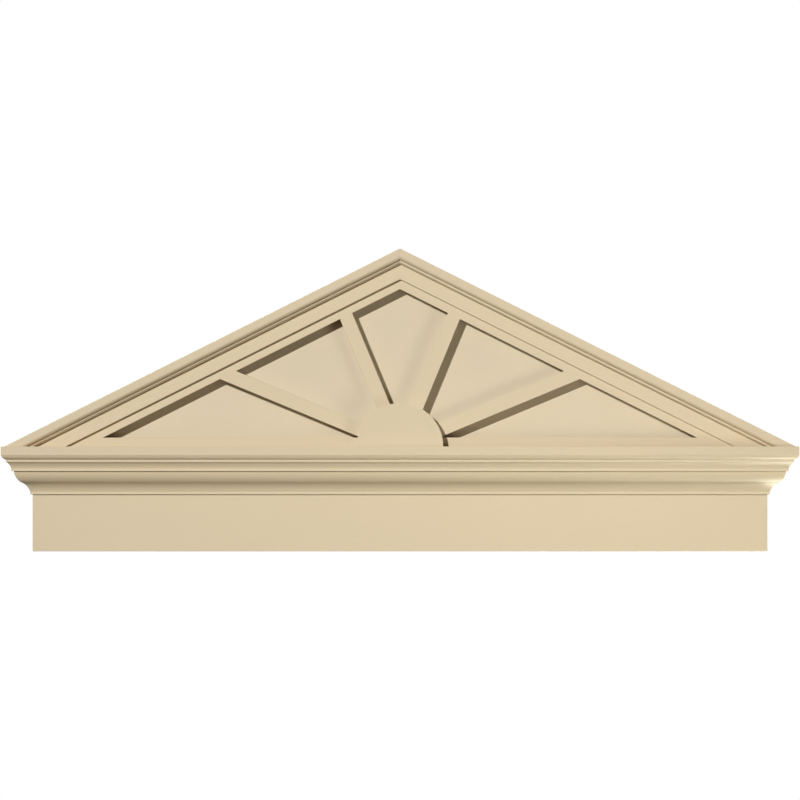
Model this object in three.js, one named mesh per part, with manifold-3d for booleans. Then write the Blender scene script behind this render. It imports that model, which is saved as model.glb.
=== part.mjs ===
// A peaked pediment for the wall over a door or window: a frieze board, a mitred crown moulding round its
// head, and on top of them a low gable with raking mouldings round a sunburst cut from sheet.
// Millimetres, +Z up. The wall is the plane y = 0, the front faces -Y and x = 0 is the middle.
// The origin is the middle of the frieze board's back face, where the fixings go into the wall.

import * as THREE from 'three';
import { mergeVertices } from 'three/addons/utils/BufferGeometryUtils.js';
import Module from 'manifold-3d';

const wasm = await Module();
wasm.setup();

// Frieze board
const friezeWidth = 1121.3;
const friezeShown = 86.9;
const friezeThickness = 19;

// Crown moulding, member by member from the top fillet down to the foot
const crownFilletHeight = 13.7;
const crownQuirkDepth = 0.7;
const crownRoundHeight = 6.5;
const crownRoundDepth = 7.3;
const crownRoundBulge = 1.4;
const crownNosingHeight = 3.4;
const crownCoveHeight = 10.2;
const crownCoveDepth = 8.2;
const crownCoveSag = 1.5;
const crownBandHeight = 4;
const crownStepDepth = 4.15;
const ogeeBellyHeight = 17.3;
const ogeeBellyDepth = 11.85;
const ogeeBellyBulge = 2.8;
const ogeeHollowHeight = 14.8;
const ogeeHollowDepth = 13;
const ogeeHollowSag = 2.4;
const footHeight = 3.3;
const footProjection = 3.75;

// Gable and its raking moulding, member by member from the outer edge inwards
const rakePitch = 0.5;
const rakeSetback = 5.7;
const rakeFilletWidth = 10;
const rakeRoundWidth = 6.1;
const rakeRoundDepth = 8;
const rakeNosingWidth = 1.9;
const rakeBeadWidth = 3.2;
const rakeBeadDepth = 5;
const rakeBeadBulge = 0.5;
const rakeStepDepth = 4.2;

// Sheets behind and beside it
const panelThickness = 9.5;
const frameThickness = 25.4;
const rakeBoardWidth = 20.5;
const rakeBoardThickness = 6.35;

// Sunburst
const frameBorder = 13.6;
const bottomRailHeight = 13.3;
const rayCount = 4;
const rayWidth = 20.9;
const hubRadius = 65.9;
const hubThickness = 22.2;
const hubLap = 2;

// Fit and fineness
const glueLine = 0.3;
const mitreGap = 0.3;
const cutClearance = 5;
const arcSegments = 8;
const hubSegments = 48;

// Sizes that follow from those above
const crownHeight = crownFilletHeight + crownRoundHeight + crownNosingHeight + crownCoveHeight
  + crownBandHeight + ogeeBellyHeight + ogeeHollowHeight + footHeight;
const crownProjection = crownQuirkDepth + crownRoundDepth + crownCoveDepth + crownStepDepth
  + ogeeBellyDepth + ogeeHollowDepth + footProjection;
const friezeBoardHeight = friezeShown + crownHeight;
const mitrePull = mitreGap / Math.SQRT2;

const frameBack = panelThickness + glueLine;
const frameFace = frameBack + frameThickness;
const rakeBoardBack = frameFace + glueLine;
const rakeBoardFace = rakeBoardBack + rakeBoardThickness;
const rakeFront = rakeBoardFace + rakeStepDepth + rakeBeadDepth + rakeRoundDepth;
const hubBack = frameFace + glueLine;

const rakeHalfSpan = friezeWidth / 2 + crownProjection - rakeSetback;
const rakeSlant = Math.hypot(1, rakePitch);
const rakeMouldingWidth = rakeFilletWidth + rakeRoundWidth + rakeNosingWidth + rakeBeadWidth;
const sheetInset = rakeMouldingWidth + glueLine;
const rakeBoardInner = sheetInset + rakeBoardWidth;
const openingInset = rakeBoardInner + frameBorder;

// The raking lines. inset is the distance down from the gable's top edge, square to it, and both
// functions count heights from the gable's foot.
function rakeHeight(inset, x) {
  return rakePitch * (rakeHalfSpan - Math.abs(x)) - inset * rakeSlant;
}

function rakeReach(inset, height) {
  return rakeHalfSpan - (height + inset * rakeSlant) / rakePitch;
}

// Material: one warm tan primer over all of the mouldings and sheets
function primer() {
  return new THREE.MeshStandardMaterial({
    color: 0xdccbac,
    roughness: 0.55,
    metalness: 0,
    flatShading: true,
  });
}

function piece(name, geometry) {
  const mesh = new THREE.Mesh(geometry, primer());
  mesh.name = name;
  return mesh;
}

// Six times the signed volume, whose sign says whether the faces point out.
function orientation(geometry) {
  const position = geometry.getAttribute('position');
  const index = geometry.getIndex();
  const a = new THREE.Vector3();
  const b = new THREE.Vector3();
  const c = new THREE.Vector3();
  let sum = 0;
  for (let i = 0; i < index.count; i += 3) {
    a.fromBufferAttribute(position, index.getX(i));
    b.fromBufferAttribute(position, index.getX(i + 1));
    c.fromBufferAttribute(position, index.getX(i + 2));
    sum += a.dot(b.cross(c));
  }
  return sum;
}

// Merges the shared corners into one closed skin and turns its faces outwards.
function closed(geometry) {
  geometry.deleteAttribute('normal');
  geometry.deleteAttribute('uv');
  const skin = mergeVertices(geometry);
  if (orientation(skin) < 0) {
    const index = skin.getIndex();
    for (let i = 0; i < index.count; i += 3) {
      const first = index.getX(i);
      index.setX(i, index.getX(i + 1));
      index.setX(i + 1, first);
    }
  }
  skin.computeVertexNormals();
  return skin;
}

function toSolid(geometry) {
  const skin = closed(geometry);
  return new wasm.Manifold(new wasm.Mesh({
    numProp: 3,
    vertProperties: new Float32Array(skin.getAttribute('position').array),
    triVerts: new Uint32Array(skin.getIndex().array),
  }));
}

function toGeometry(solid) {
  const mesh = solid.getMesh();
  const geometry = new THREE.BufferGeometry();
  geometry.setAttribute('position', new THREE.BufferAttribute(new Float32Array(mesh.vertProperties), 3));
  geometry.setIndex(new THREE.BufferAttribute(new Uint32Array(mesh.triVerts), 1));
  geometry.computeVertexNormals();
  return geometry;
}

// Adds a circular arc from the shape's current point to (x, y). bulge is its rise over the chord, and
// is positive to the left of the way along it.
function arcTo(shape, x, y, bulge) {
  const from = shape.currentPoint.clone();
  const to = new THREE.Vector2(x, y);
  const along = to.clone().sub(from);
  const chord = along.length();
  const left = new THREE.Vector2(-along.y, along.x).divideScalar(chord);
  const rise = Math.abs(bulge);
  const radius = (chord * chord / 4 + rise * rise) / (2 * rise);
  const centre = from.clone().add(to).multiplyScalar(0.5);
  centre.addScaledVector(left, Math.sign(bulge) * (rise - radius));
  const startAngle = from.sub(centre).angle();
  const endAngle = to.sub(centre).angle();
  shape.absarc(centre.x, centre.y, radius, startAngle, endAngle, bulge > 0);
}

// A straight run of moulding. The section lies in (u, v), and start and end say where each of its
// points begins and ends, so that a run is cut square, mitred or scribed to its neighbour.
function run(section, start, end) {
  const bar = new THREE.ExtrudeGeometry(section, {
    depth: 1,
    bevelEnabled: false,
    curveSegments: arcSegments,
  });
  const position = bar.getAttribute('position');
  for (let i = 0; i < position.count; i++) {
    const place = position.getZ(i) < 0.5 ? start : end;
    position.setXYZ(i, ...place(position.getX(i), position.getY(i)));
  }
  return closed(bar);
}

// A flat sheet cut to an outline in (x, z), from one depth out of the wall to another.
function sheet(outline, back, face, segments = arcSegments) {
  const plate = new THREE.ExtrudeGeometry(outline, {
    depth: face - back,
    bevelEnabled: false,
    curveSegments: segments,
  });
  plate.rotateX(Math.PI / 2);
  plate.translate(0, -back, 0);
  return closed(plate);
}

function rectangle(left, right, low, high) {
  const shape = new THREE.Shape();
  shape.moveTo(left, low);
  shape.lineTo(right, low);
  shape.lineTo(right, high);
  shape.lineTo(left, high);
  shape.closePath();
  return shape;
}

// The gable's triangle at an inset from its raking edges, down to a foot height.
function gable(inset, foot) {
  const shape = new THREE.Shape();
  shape.moveTo(-rakeReach(inset, foot), foot);
  shape.lineTo(rakeReach(inset, foot), foot);
  shape.lineTo(0, rakeHeight(inset, 0));
  shape.closePath();
  return shape;
}

function halfDisc(radius) {
  const shape = new THREE.Shape();
  shape.moveTo(radius, 0);
  shape.absarc(0, 0, radius, 0, Math.PI, false);
  shape.closePath();
  return shape;
}

// Crown section: u is the projection from the frieze board's face, v the height, with 0 at the top.
function crownSection() {
  const shape = new THREE.Shape();
  let out = crownProjection;
  let height = 0;
  shape.moveTo(glueLine, height);
  shape.lineTo(out, height);
  height -= crownFilletHeight;
  shape.lineTo(out, height);
  out -= crownQuirkDepth;
  shape.lineTo(out, height);
  out -= crownRoundDepth;
  height -= crownRoundHeight;
  arcTo(shape, out, height, crownRoundBulge);
  height -= crownNosingHeight;
  shape.lineTo(out, height);
  out -= crownCoveDepth;
  height -= crownCoveHeight;
  arcTo(shape, out, height, -crownCoveSag);
  height -= crownBandHeight;
  shape.lineTo(out, height);
  out -= crownStepDepth;
  shape.lineTo(out, height);
  out -= ogeeBellyDepth;
  height -= ogeeBellyHeight;
  arcTo(shape, out, height, ogeeBellyBulge);
  out -= ogeeHollowDepth;
  height -= ogeeHollowHeight;
  arcTo(shape, out, height, -ogeeHollowSag);
  height -= footHeight;
  shape.lineTo(out, height);
  shape.lineTo(glueLine, height);
  shape.closePath();
  return shape;
}

// Raking moulding section: u is the inset from the gable's top edge, v the distance out from the wall.
// Its round is a quarter of an oval that leaves the fillet flush and ends square to the nosing.
function rakeSection() {
  const shape = new THREE.Shape();
  let inset = rakeFilletWidth;
  let out = rakeFront;
  shape.moveTo(0, 0);
  shape.lineTo(0, out);
  shape.lineTo(inset, out);
  out -= rakeRoundDepth;
  shape.absellipse(inset, out, rakeRoundWidth, rakeRoundDepth, Math.PI / 2, 0, true);
  inset += rakeRoundWidth + rakeNosingWidth;
  shape.lineTo(inset, out);
  inset += rakeBeadWidth;
  out -= rakeBeadDepth;
  arcTo(shape, inset, out, rakeBeadBulge);
  shape.lineTo(inset, 0);
  shape.closePath();
  return shape;
}

// The crown's front run is mitred at both ends, and a return runs from the wall to its mitre.
// side is -1 on the left and 1 on the right.
function crownFront() {
  const end = (side) => (out, height) => [
    side * (friezeWidth / 2 + out - mitrePull),
    -(friezeThickness + out),
    friezeBoardHeight + height,
  ];
  return run(crownSection(), end(-1), end(1));
}

function crownReturn(side) {
  const atWall = (out, height) => [side * (friezeWidth / 2 + out), 0, friezeBoardHeight + height];
  const atMitre = (out, height) => [
    side * (friezeWidth / 2 + out),
    -(friezeThickness + out - mitrePull),
    friezeBoardHeight + height,
  ];
  return run(crownSection(), atWall, atMitre);
}

// Raking pieces stand on the gable's foot and meet at the peak in an upright mitre.
function rakeRun(section, side) {
  const atFoot = (inset, out) => [side * rakeReach(inset, 0), -out, 0];
  const atPeak = (inset, out) => [side * mitreGap / 2, -out, rakeHeight(inset, mitreGap / 2)];
  return run(section, atFoot, atPeak);
}

// The sunburst frame is one sheet. Its openings are what the rays and the web behind the hub leave
// of the triangle inside the border.
function sunburstFrame() {
  const back = frameBack - cutClearance;
  const face = frameFace + cutClearance;
  let openings = toSolid(sheet(gable(openingInset, bottomRailHeight), back, face));
  const web = sheet(halfDisc(hubRadius - hubLap), 0, face + cutClearance, hubSegments);
  openings = openings.subtract(toSolid(web));
  for (let ray = 0; ray < rayCount; ray++) {
    const bar = new THREE.BoxGeometry(rakeHalfSpan, face + cutClearance, rayWidth);
    bar.translate(rakeHalfSpan / 2, -(face + cutClearance) / 2, 0);
    bar.rotateY(-Math.PI * (ray + 0.5) / rayCount);
    openings = openings.subtract(toSolid(bar));
  }
  const plate = toSolid(sheet(gable(sheetInset, 0), frameBack, frameFace));
  return toGeometry(plate.subtract(openings));
}

// Frieze board with its crown
const entablature = new THREE.Group();
entablature.position.z = -friezeBoardHeight / 2;

const friezeBlank = new THREE.BoxGeometry(friezeWidth, friezeThickness, friezeBoardHeight);
const friezeBoard = piece('frieze_board', friezeBlank);
friezeBoard.position.set(0, -friezeThickness / 2, friezeBoardHeight / 2);
entablature.add(friezeBoard);
entablature.add(piece('cornice_front', crownFront()));

// Gable, standing on the board and the crown
const tympanum = new THREE.Group();
tympanum.position.z = friezeBoardHeight / 2 + glueLine;
tympanum.add(piece('back_panel', sheet(gable(sheetInset, 0), 0, panelThickness)));
tympanum.add(piece('sunburst_frame', sunburstFrame()));
tympanum.add(piece('sunburst_hub', sheet(halfDisc(hubRadius), hubBack, hubBack + hubThickness, hubSegments)));

for (const [hand, side] of [['left', -1], ['right', 1]]) {
  entablature.add(piece(`cornice_return_${hand}`, crownReturn(side)));
  const board = rectangle(sheetInset, rakeBoardInner, rakeBoardBack, rakeBoardFace);
  tympanum.add(piece(`rake_board_${hand}`, rakeRun(board, side)));
  tympanum.add(piece(`rake_moulding_${hand}`, rakeRun(rakeSection(), side)));
}

const pediment = new THREE.Group();
pediment.add(entablature, tympanum);

export default pediment;
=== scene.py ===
import math

import bmesh
import bpy
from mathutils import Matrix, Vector
from mathutils.bvhtree import BVHTree


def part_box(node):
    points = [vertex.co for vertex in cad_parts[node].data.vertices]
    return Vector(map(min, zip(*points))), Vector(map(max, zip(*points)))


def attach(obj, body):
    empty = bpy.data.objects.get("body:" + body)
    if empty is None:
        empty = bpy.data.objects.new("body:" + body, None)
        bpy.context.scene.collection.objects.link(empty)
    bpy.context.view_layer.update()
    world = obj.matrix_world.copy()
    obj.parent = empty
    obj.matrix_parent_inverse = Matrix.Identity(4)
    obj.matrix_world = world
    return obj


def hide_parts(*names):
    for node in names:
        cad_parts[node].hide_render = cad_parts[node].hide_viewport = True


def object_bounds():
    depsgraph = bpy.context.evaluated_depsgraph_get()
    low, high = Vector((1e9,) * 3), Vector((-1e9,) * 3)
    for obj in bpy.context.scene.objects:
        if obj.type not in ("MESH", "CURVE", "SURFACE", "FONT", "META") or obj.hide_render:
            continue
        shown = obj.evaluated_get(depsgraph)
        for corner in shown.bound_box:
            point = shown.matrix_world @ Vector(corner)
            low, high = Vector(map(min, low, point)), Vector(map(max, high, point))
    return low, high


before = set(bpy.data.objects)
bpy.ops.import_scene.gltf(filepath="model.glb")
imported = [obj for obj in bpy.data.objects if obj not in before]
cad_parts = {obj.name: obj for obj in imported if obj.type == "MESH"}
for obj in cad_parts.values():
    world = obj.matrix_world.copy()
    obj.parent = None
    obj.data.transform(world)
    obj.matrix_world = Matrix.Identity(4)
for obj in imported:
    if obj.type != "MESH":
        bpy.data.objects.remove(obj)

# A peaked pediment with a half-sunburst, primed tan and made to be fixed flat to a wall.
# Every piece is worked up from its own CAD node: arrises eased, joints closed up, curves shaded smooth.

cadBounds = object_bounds()
friezeLow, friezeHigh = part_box("frieze_board")
mmSize = 0.001


# The shader groups that every primed face uses

def newGroup(name, inputs, outputs):
    group = bpy.data.node_groups.new(name, "ShaderNodeTree")
    for label, kind, default in inputs:
        socket = group.interface.new_socket(name=label, in_out="INPUT", socket_type=kind)
        if default is not None:
            socket.default_value = default
    for label, kind in outputs:
        group.interface.new_socket(name=label, in_out="OUTPUT", socket_type=kind)
    entry = group.nodes.new("NodeGroupInput")
    leave = group.nodes.new("NodeGroupOutput")
    return group, entry, leave


def addNode(tree, kind, **settings):
    node = tree.nodes.new(kind)
    for key, value in settings.items():
        setattr(node, key, value)
    return node


def noise(tree, vector, scale, detail, roughness, stretch=None):
    if stretch is not None:
        mapping = addNode(tree, "ShaderNodeMapping")
        mapping.inputs["Scale"].default_value = stretch
        tree.links.new(vector, mapping.inputs["Vector"])
        vector = mapping.outputs["Vector"]
    node = addNode(tree, "ShaderNodeTexNoise")
    node.inputs["Scale"].default_value = scale
    node.inputs["Detail"].default_value = detail
    node.inputs["Roughness"].default_value = roughness
    tree.links.new(vector, node.inputs["Vector"])
    return node.outputs["Fac"]


def mathNode(tree, operation, a, b, clamp=False):
    node = addNode(tree, "ShaderNodeMath", operation=operation, use_clamp=clamp)
    for slot, value in enumerate((a, b)):
        if isinstance(value, (int, float)):
            node.inputs[slot].default_value = value
        else:
            tree.links.new(value, node.inputs[slot])
    return node.outputs["Value"]


def mixColour(tree, factor, a, b):
    node = addNode(tree, "ShaderNodeMix", data_type="RGBA")
    for label, value in (("Factor", factor), ("A", a), ("B", b)):
        socket = [s for s in node.inputs if s.name == label and s.enabled][0]
        tree.links.new(value, socket)
    return [s for s in node.outputs if s.enabled][0]


primerPattern = {
    # scale, detail and roughness of each layer's noise
    "broad": (9.0, 3.0, 0.55),
    "cloudy": (55.0, 3.0, 0.6),
    "drag": (1.0, 3.0, 0.55),
    "stipple": (700.0, 2.0, 0.5),
    "fine": (2400.0, 1.0, 0.5),
    "dragStretch": (5.0, 260.0, 260.0),    # long along the run and close across it
    "broadShare": 0.6,
    "cloudyShare": 0.4,
    "stippleHeight": 0.7,
    "fineHeight": 0.3,
    "dragHeight": 0.5,
    "sheenChange": 0.05,
    "middle": 0.5,                         # the noise's own middle, taken off to leave the mean level
}


def buildPrimerGroup():
    # Sprayed primer: cloudy coat, faint drag lines along the run, fine stipple
    group, entry, leave = newGroup(
        "primerCoat",
        [
            ("Vector", "NodeSocketVector", None),
            ("Primer", "NodeSocketColor", (0.7, 0.6, 0.4, 1)),
            ("Cloud", "NodeSocketFloat", 0.03),
            ("Drag", "NodeSocketFloat", 0.02),
            ("Sheen Change", "NodeSocketFloat", primerPattern["sheenChange"]),
            ("Base Roughness", "NodeSocketFloat", 0.5),
        ],
        [("Color", "NodeSocketColor"), ("Roughness", "NodeSocketFloat"), ("Height", "NodeSocketFloat")],
    )
    middle = primerPattern["middle"]
    where = entry.outputs["Vector"]
    broad = noise(group, where, *primerPattern["broad"])
    cloudy = noise(group, where, *primerPattern["cloudy"])
    drag = noise(group, where, *primerPattern["drag"], stretch=primerPattern["dragStretch"])
    stipple = noise(group, where, *primerPattern["stipple"])
    fine = noise(group, where, *primerPattern["fine"])

    broadPart = mathNode(group, "MULTIPLY", broad, primerPattern["broadShare"])
    cloudyPart = mathNode(group, "MULTIPLY", cloudy, primerPattern["cloudyShare"])
    shade = mathNode(group, "SUBTRACT", mathNode(group, "ADD", broadPart, cloudyPart), middle)
    shade = mathNode(group, "MULTIPLY", shade, entry.outputs["Cloud"])
    line = mathNode(group, "MULTIPLY", mathNode(group, "SUBTRACT", drag, middle), entry.outputs["Drag"])
    level = mathNode(group, "ADD", mathNode(group, "ADD", shade, line), 1.0)
    tone = addNode(group, "ShaderNodeVectorMath", operation="SCALE")
    group.links.new(entry.outputs["Primer"], tone.inputs[0])
    group.links.new(level, tone.inputs["Scale"])
    group.links.new(tone.outputs["Vector"], leave.inputs["Color"])

    sheen = mathNode(group, "SUBTRACT", cloudy, middle)
    sheen = mathNode(group, "MULTIPLY", sheen, entry.outputs["Sheen Change"])
    sheen = mathNode(group, "ADD", entry.outputs["Base Roughness"], sheen)
    group.links.new(sheen, leave.inputs["Roughness"])

    stipplePart = mathNode(group, "MULTIPLY", stipple, primerPattern["stippleHeight"])
    finePart = mathNode(group, "MULTIPLY", fine, primerPattern["fineHeight"])
    dragPart = mathNode(group, "MULTIPLY", drag, primerPattern["dragHeight"])
    bumps = mathNode(group, "ADD", mathNode(group, "ADD", stipplePart, finePart), dragPart)
    group.links.new(bumps, leave.inputs["Height"])
    return group


arrisPattern = {
    "patches": (38.0, 4.0, 0.65),    # scale, detail and roughness of the noise
    "start": 0.42,
    "contrast": 5.0,
}


def buildArrisGroup():
    # Thin, slightly rubbed primer on the eased arrises, broken up along their length
    group, entry, leave = newGroup(
        "rubbedArris",
        [
            ("Vector", "NodeSocketVector", None),
            ("Coat", "NodeSocketColor", (0.7, 0.6, 0.4, 1)),
            ("Under", "NodeSocketColor", (0.8, 0.75, 0.66, 1)),
            ("Amount", "NodeSocketFloat", 0.4),
        ],
        [("Color", "NodeSocketColor")],
    )
    arris = addNode(group, "ShaderNodeAttribute", attribute_name="arris")
    patches = noise(group, entry.outputs["Vector"], *arrisPattern["patches"])
    patches = mathNode(group, "SUBTRACT", patches, arrisPattern["start"])
    patches = mathNode(group, "MULTIPLY", patches, arrisPattern["contrast"], clamp=True)
    mask = mathNode(group, "MULTIPLY", arris.outputs["Fac"], patches)
    mask = mathNode(group, "MULTIPLY", mask, entry.outputs["Amount"])
    worn = mixColour(group, mask, entry.outputs["Coat"], entry.outputs["Under"])
    group.links.new(worn, leave.inputs["Color"])
    return group


primerCoat = buildPrimerGroup()
rubbedArris = buildArrisGroup()
print("shader groups made")


# Materials

primerLook = {
    "colour": (0.630, 0.505, 0.325, 1.0),
    "underColour": (0.690, 0.590, 0.430, 1.0),
    "roughness": 0.45,
    "specular": 0.5,
    "bumpStrength": 1.0,
    "stippleDepth": 0.00006,
    "offsetShares": (1.0, 0.7, 0.3),    # how a material's offset is spread over x, y and z
}


def primerMaterial(name, alongAngle=0.0, cloud=0.05, drag=0.02, rubbed=0.2,
                   tint=(1.0, 1.0, 1.0), offset=0.0):
    # alongAngle turns the drag lines to the way the board runs, seen from the front,
    # and offset gives each material another part of the noise
    primer = tuple(c * t for c, t in zip(primerLook["colour"], tint)) + (1.0,)
    material = bpy.data.materials.new(name)
    material.use_nodes = True
    tree = material.node_tree
    shader = tree.nodes["Principled BSDF"]
    place = addNode(tree, "ShaderNodeTexCoord")
    turn = addNode(tree, "ShaderNodeMapping")
    turn.inputs["Rotation"].default_value = (0.0, alongAngle, 0.0)
    turn.inputs["Location"].default_value = tuple(offset * share for share in primerLook["offsetShares"])
    tree.links.new(place.outputs["Object"], turn.inputs["Vector"])

    coat = addNode(tree, "ShaderNodeGroup", node_tree=primerCoat)
    coat.inputs["Primer"].default_value = primer
    coat.inputs["Cloud"].default_value = cloud
    coat.inputs["Drag"].default_value = drag
    coat.inputs["Base Roughness"].default_value = primerLook["roughness"]
    tree.links.new(turn.outputs["Vector"], coat.inputs["Vector"])

    edge = addNode(tree, "ShaderNodeGroup", node_tree=rubbedArris)
    edge.inputs["Under"].default_value = primerLook["underColour"]
    edge.inputs["Amount"].default_value = rubbed
    tree.links.new(turn.outputs["Vector"], edge.inputs["Vector"])
    tree.links.new(coat.outputs["Color"], edge.inputs["Coat"])
    tree.links.new(edge.outputs["Color"], shader.inputs["Base Color"])
    tree.links.new(coat.outputs["Roughness"], shader.inputs["Roughness"])

    bump = addNode(tree, "ShaderNodeBump")
    bump.inputs["Strength"].default_value = primerLook["bumpStrength"]
    bump.inputs["Distance"].default_value = primerLook["stippleDepth"]
    tree.links.new(coat.outputs["Height"], bump.inputs["Height"])
    tree.links.new(bump.outputs["Normal"], shader.inputs["Normal"])
    shader.inputs["Specular IOR Level"].default_value = primerLook["specular"]
    return material


# Working up the pieces

finish = {
    "weld": 1e-6,                     # corners closer than this are one
    "flatAngle": 0.2,                 # degrees between faces that are really one face
    "arrisAngle": 25.0,               # degrees; sharper edges than this are eased
    "arrisSegments": 3,
    "curveAngle": 24.0,               # degrees between faces that shade as one curve
    "roundedAngle": 50.0,             # the same for the faces of an eased arris
    "touching": 0.5 * mmSize,         # an edge this close to a neighbour stays sharp
    "jointReach": 0.4 * mmSize,       # how far a face is drawn up to its neighbour
    "cornerReach": 0.8 * mmSize,      # the same at the gable's slanting corners
    "onWall": 0.5 * mmSize,
    "facingWall": 0.99,               # least y of a back face's normal
    "acrossWall": 0.1,                # most y of a cut edge's normal
}


def nodeMesh(node):
    mesh = bmesh.new()
    mesh.from_mesh(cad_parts[node].data)
    bmesh.ops.remove_doubles(mesh, verts=mesh.verts, dist=finish["weld"])
    return mesh


solidTrees = {}
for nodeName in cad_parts:
    nodeCopy = nodeMesh(nodeName)
    solidTrees[nodeName] = BVHTree.FromBMesh(nodeCopy)
    nodeCopy.free()


def touchesNeighbour(point, ownNode):
    for other, tree in solidTrees.items():
        if other != ownNode and tree.find_nearest(point, finish["touching"])[0] is not None:
            return True
    return False


# Which pieces each one is drawn up to, so that no glued joint shows daylight
joinedTo = {
    "cornice_front": ["frieze_board"],
    "cornice_return_left": ["frieze_board"],
    "cornice_return_right": ["frieze_board"],
    "back_panel": ["rake_moulding_left", "rake_moulding_right"],
    "sunburst_frame": ["back_panel", "rake_moulding_left", "rake_moulding_right"],
    "sunburst_hub": ["sunburst_frame"],
    "rake_board_left": ["sunburst_frame", "rake_moulding_left"],
    "rake_board_right": ["sunburst_frame", "rake_moulding_right"],
}


def stepTo(place, spot, normal):
    # Straight onto the neighbour, but along the foot for a corner there and upright for one at the peak
    leastSlope = 0.1
    gap = (spot - place).dot(normal)
    slopes = abs(normal.x) > leastSlope and abs(normal.z) > leastSlope
    if slopes and abs(place.z - friezeHigh.z) < finish["weld"]:
        return Vector((gap / normal.x, 0.0, 0.0))
    if slopes and abs(place.x) < finish["weld"]:
        return Vector((0.0, 0.0, gap / normal.z))
    return normal * gap


def closeJoints(mesh, node):
    inCrown = node.startswith("cornice_")
    inGable = node != "frieze_board" and not inCrown
    reach = finish["jointReach"]
    partnerReach = finish["cornerReach"] if inGable else reach
    for vert in mesh.verts:
        place = vert.co
        if node.startswith("rake_") and abs(place.x) < reach:
            place.x = 0.0
        if inGable and abs(place.z - friezeHigh.z) < reach:
            place.z = friezeHigh.z
        if inCrown:
            # The two sides of a crown mitre meet on the line where both stand out the same
            side = math.copysign(1.0, place.x)
            out = friezeLow.y - place.y
            past = abs(place.x) - friezeHigh.x
            if abs(out - past) < reach:
                if node == "cornice_front":
                    place.x = side * (friezeHigh.x + out)
                else:
                    place.y = friezeLow.y - past
        for other in joinedTo.get(node, ()):
            spot, normal, _, _ = solidTrees[other].find_nearest(place, partnerReach)
            if spot is not None:
                place = place + stepTo(place, spot, normal)
                vert.co = place


def cornerNormals(mesh, rounded):
    # Flat faces stay flat, curved members shade as one curve, and each eased arris turns from one
    # neighbour's normal to the other's
    cornerWeight = 10
    noAngle = 3.0    # what a face without a normal counts as, more than either limit
    width = {f: f.calc_area() / max(e.calc_length() for e in f.edges) for f in mesh.faces}
    normals = []
    for face in mesh.faces:
        limit = math.radians(finish["roundedAngle"] if face in rounded else finish["curveAngle"])
        corners = set(face.verts)
        for loop in face.loops:
            around = [f for f in loop.vert.link_faces if f.normal.angle(face.normal, noAngle) < limit]
            plain = [f for f in around if f not in rounded]
            if face in rounded and plain:
                around = [max(plain, key=lambda f: len(set(f.verts) & corners) * cornerWeight + width[f])]
            elif plain:
                around = plain
            total = Vector((0.0, 0.0, 0.0))
            for other in around:
                total += other.normal * width[other] ** 2
            normals.append(total.normalized())
    return normals


def workUp(node, material, ease, backMaterial=None, edgeMaterial=None):
    # The second material covers the faces on the wall, or the edges where the sheet was cut
    mesh = nodeMesh(node)
    bmesh.ops.dissolve_limit(mesh, angle_limit=math.radians(finish["flatAngle"]),
                             verts=mesh.verts, edges=mesh.edges)
    closeJoints(mesh, node)
    sharp = math.radians(finish["arrisAngle"])
    arrises = []
    for edge in mesh.edges:
        if len(edge.link_faces) != 2 or not edge.is_convex or edge.calc_face_angle() < sharp:
            continue
        ends = [v.co for v in edge.verts]
        middle = (ends[0] + ends[1]) / 2
        if not touchesNeighbour(middle, node):
            arrises.append(edge)
    result = bmesh.ops.bevel(mesh, geom=arrises, offset=ease, offset_type="OFFSET",
                             segments=finish["arrisSegments"], profile=0.5, affect="EDGES",
                             clamp_overlap=True)
    rounded = set(result["faces"])
    mesh.normal_update()
    arris = mesh.loops.layers.float_color.new("arris")
    for face in mesh.faces:
        face.smooth = True
        value = 1.0 if face in rounded else 0.0
        for loop in face.loops:
            loop[arris] = (value, value, value, 1.0)
        atWall = abs(face.calc_center_median().y) < finish["onWall"]
        isBack = face.normal.y > finish["facingWall"] and atWall
        isCut = face not in rounded and abs(face.normal.y) < finish["acrossWall"]
        face.material_index = 1 if (backMaterial and isBack) or (edgeMaterial and isCut) else 0
    normals = cornerNormals(mesh, rounded)
    data = bpy.data.meshes.new(node + "_finished")
    mesh.to_mesh(data)
    mesh.free()
    data.normals_split_custom_set(normals)
    data.materials.append(material)
    if backMaterial or edgeMaterial:
        data.materials.append(backMaterial or edgeMaterial)
    piece = bpy.data.objects.new(node + "_finished", data)
    bpy.context.scene.collection.objects.link(piece)
    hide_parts(node)
    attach(piece, "root")
    print(node, "worked up:", len(arrises), "arrises eased,", len(data.polygons), "faces")


gableLow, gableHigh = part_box("rake_moulding_left")
pitchAngle = math.atan2(gableHigh.z - gableLow.z, gableHigh.x - gableLow.x)

alongRun = primerMaterial("primerAlong")
alongReturn = primerMaterial("primerReturn", drag=0.01, offset=3.1)
alongLeftRake = primerMaterial("primerRakeLeft", alongAngle=pitchAngle, drag=0.03, offset=5.3)
alongRightRake = primerMaterial("primerRakeRight", alongAngle=-pitchAngle, drag=0.03, offset=7.7)
onSheet = primerMaterial("primerSheet", cloud=0.06, drag=0.015, offset=11.2)
# The panel's cooler tint is painted light: it takes out the warm glow that the lit walls bounce onto the
# recessed panels
panelPaintedCool = primerMaterial("primerPanelPaintedCool", cloud=0.06, drag=0.015, tint=(0.985, 1.01, 1.06), offset=12.6)
# The cut edges are tinted darker as painted shade, which dims the light they bounce into the sunburst's
# recesses; their cloudier, more dragged coat is their own
cutEdgePaintedShade = primerMaterial("primerCutEdgePaintedShade", cloud=0.10, drag=0.05, tint=(0.76, 0.79, 0.84), offset=9.4)
onBack = primerMaterial("primerBack", cloud=0.16, drag=0.12, rubbed=0.0, tint=(0.97, 0.97, 0.97), offset=13.9)
print("materials made")

# Each ease is how far back an arris is rounded, in metres
frieze = {"ease": 0.0006}
workUp("frieze_board", alongRun, frieze["ease"], onBack)

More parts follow.
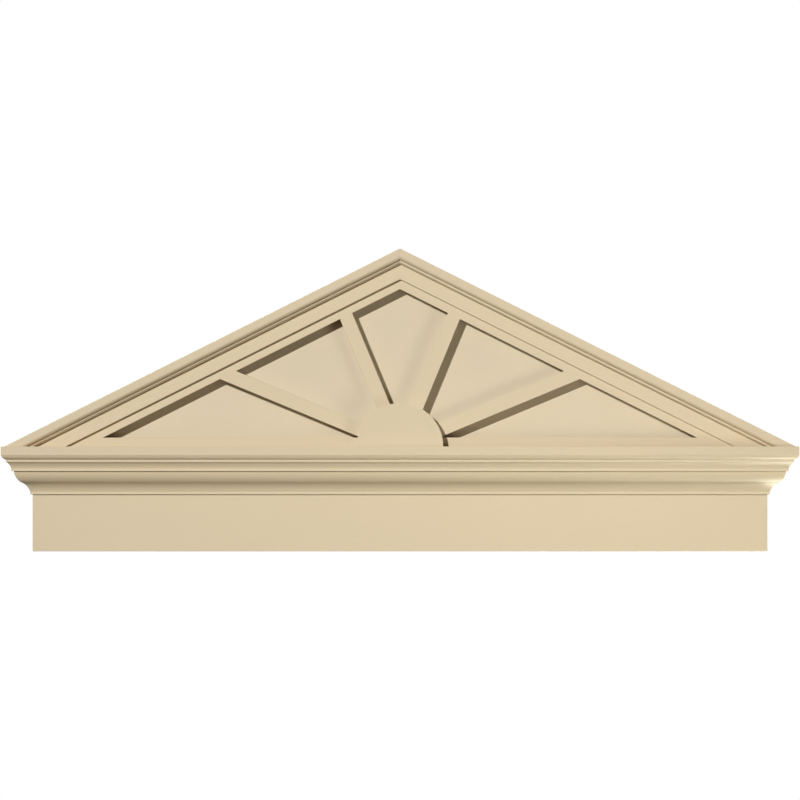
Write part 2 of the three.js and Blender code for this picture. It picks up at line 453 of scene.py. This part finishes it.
crown = {"ease": 0.0004}
workUp("cornice_front", alongRun, crown["ease"])
for hand in ("left", "right"):
    workUp("cornice_return_" + hand, alongReturn, crown["ease"], onBack)

gable = {"ease": 0.0004, "boardEase": 0.0005}
for hand, material in (("left", alongLeftRake), ("right", alongRightRake)):
    workUp("rake_moulding_" + hand, material, gable["ease"], onBack)
    workUp("rake_board_" + hand, material, gable["boardEase"])

sunburst = {"frameEase": 0.0005, "hubEase": 0.0007}
workUp("back_panel", panelPaintedCool, sunburst["frameEase"], onBack)
workUp("sunburst_frame", onSheet, sunburst["frameEase"], edgeMaterial=cutEdgePaintedShade)
workUp("sunburst_hub", onSheet, sunburst["hubEase"], edgeMaterial=cutEdgePaintedShade)


# Floor, light and camera

studio = {
    "floorDrop": 0.95,
    "floorRadius": 12.0,
    "floorSegments": 96,
    "floorColour": (0.86, 0.86, 0.85, 1.0),
    "floorRoughness": 0.8,
    "floorGlow": 0.62,
    "keyFrom": (-0.386, -1.0, 0.348),
    "keyTarget": (-0.2, 0.0, 0.1),
    "keyDistance": 12.0,
    "sunStrength": 1.78,
    "sunColour": (0.947, 0.971, 1.0),
    "sunAngle": 0.4,
    "spotCone": 10.0,          # wide enough to cover the part, fading towards its right end
    "spotSize": 0.04,
    "spotPower": 2580.0,
    "spotColour": (0.947, 0.971, 1.0),
    "ambientColour": (1.0, 0.95, 0.80, 1.0),
    "ambientStrength": 0.045,
}

# Soft lamps: in front on the lower right, below on the right, and a wide one that shows the back
softLamps = {
    "side": {
        "place": (1.2, -1.2, -0.3), "target": (0.25, -0.02, 0.12),
        "colour": (1.0, 0.99, 0.95), "size": 0.8, "power": 8.4,
    },
    "below": {
        "place": (0.7, 0.2, -0.8), "target": (0.4, -0.03, 0.03),
        "colour": (0.93, 1.0, 0.97), "size": 0.6, "power": 10.4,
    },
    "behind": {
        "place": (-1.2, 3.0, 1.6), "target": (0.0, 0.0, 0.05),
        "colour": (1.0, 0.98, 0.95), "size": 2.0, "power": 95.0,
    },
}


def makeFloor():
    # Pale and faintly lit of itself, and clear when seen from underneath
    mesh = bmesh.new()
    bmesh.ops.create_circle(mesh, cap_ends=True, segments=studio["floorSegments"],
                            radius=studio["floorRadius"])
    data = bpy.data.meshes.new("floor")
    mesh.to_mesh(data)
    mesh.free()
    floor = bpy.data.objects.new("floor", data)
    floor.location = (0.0, 0.0, friezeLow.z - studio["floorDrop"])
    material = bpy.data.materials.new("floorPaint")
    material.use_nodes = True
    tree = material.node_tree
    paint = tree.nodes["Principled BSDF"]
    paint.inputs["Base Color"].default_value = studio["floorColour"]
    paint.inputs["Roughness"].default_value = studio["floorRoughness"]
    paint.inputs["Emission Color"].default_value = studio["floorColour"]
    paint.inputs["Emission Strength"].default_value = studio["floorGlow"]
    facing = addNode(tree, "ShaderNodeNewGeometry")
    clear = addNode(tree, "ShaderNodeBsdfTransparent")
    choose = addNode(tree, "ShaderNodeMixShader")
    tree.links.new(facing.outputs["Backfacing"], choose.inputs["Fac"])
    tree.links.new(paint.outputs["BSDF"], choose.inputs[1])
    tree.links.new(clear.outputs["BSDF"], choose.inputs[2])
    tree.links.new(choose.outputs["Shader"], tree.nodes["Material Output"].inputs["Surface"])
    data.materials.append(material)
    bpy.context.scene.collection.objects.link(floor)
    floor.visible_diffuse = False
    floor.visible_glossy = False


def aimed(obj, place, target):
    obj.location = place
    obj.rotation_mode = "QUATERNION"
    obj.rotation_quaternion = (Vector(target) - Vector(place)).to_track_quat("-Z", "Y")


def makeWorld():
    # A dim room, with a white ground for the camera alone
    world = bpy.data.worlds.new("studio")
    bpy.context.scene.world = world
    world.use_nodes = True
    tree = world.node_tree
    background = tree.nodes["Background"]
    background.inputs["Color"].default_value = studio["ambientColour"]
    background.inputs["Strength"].default_value = studio["ambientStrength"]
    white = addNode(tree, "ShaderNodeBackground")
    white.inputs["Color"].default_value = (1.0, 1.0, 1.0, 1.0)
    rays = addNode(tree, "ShaderNodeLightPath")
    choose = addNode(tree, "ShaderNodeMixShader")
    tree.links.new(rays.outputs["Is Camera Ray"], choose.inputs["Fac"])
    tree.links.new(background.outputs["Background"], choose.inputs[1])
    tree.links.new(white.outputs["Background"], choose.inputs[2])
    tree.links.new(choose.outputs["Shader"], tree.nodes["World Output"].inputs["Surface"])


def addLamp(name, kind, energy, colour, place, target):
    data = bpy.data.lights.new(name, kind)
    data.energy = energy
    data.color = colour
    lamp = bpy.data.objects.new(name, data)
    bpy.context.scene.collection.objects.link(lamp)
    lamp.visible_camera = False
    aimed(lamp, place, target)
    return data


def makeLights():
    # The key is a hard light from the upper left, part of it even and part fading to the right
    target = Vector(studio["keyTarget"])
    place = target + Vector(studio["keyFrom"]).normalized() * studio["keyDistance"]
    sun = addLamp("keyEven", "SUN", studio["sunStrength"], studio["sunColour"], place, target)
    sun.angle = math.radians(studio["sunAngle"])
    spot = addLamp("keyFading", "SPOT", studio["spotPower"], studio["spotColour"], place, target)
    spot.spot_size = math.radians(studio["spotCone"])
    spot.spot_blend = 1.0
    spot.shadow_soft_size = studio["spotSize"]

    for name, lamp in softLamps.items():
        data = addLamp(name, "AREA", lamp["power"], lamp["colour"], lamp["place"], lamp["target"])
        data.shape = "DISK"
        data.size = lamp["size"]


photoView = {
    "distance": 6.0,
    "pixels": 800.0,
    "widthPixels": 798.8,    # the crown's overall width in the photograph
    "footPixel": 551.34,     # the frieze board's bottom edge
}


def makeCamera():
    # The photograph shows no perspective: crown, gable and board all keep one scale
    low, high = cadBounds
    metresPerPixel = (high.x - low.x) / photoView["widthPixels"]
    middle = friezeLow.z + (photoView["footPixel"] - photoView["pixels"] / 2) * metresPerPixel
    data = bpy.data.cameras.new("camera")
    data.type = "ORTHO"
    data.ortho_scale = metresPerPixel * photoView["pixels"]
    camera = bpy.data.objects.new("camera", data)
    bpy.context.scene.collection.objects.link(camera)
    aimed(camera, (0.0, -photoView["distance"], middle), (0.0, 0.0, middle))
    bpy.context.scene.camera = camera


makeFloor()
makeWorld()
makeLights()
makeCamera()
bpy.context.scene.view_settings.view_transform = "Standard"
print("studio ready")

bpy.context.view_layer.update()
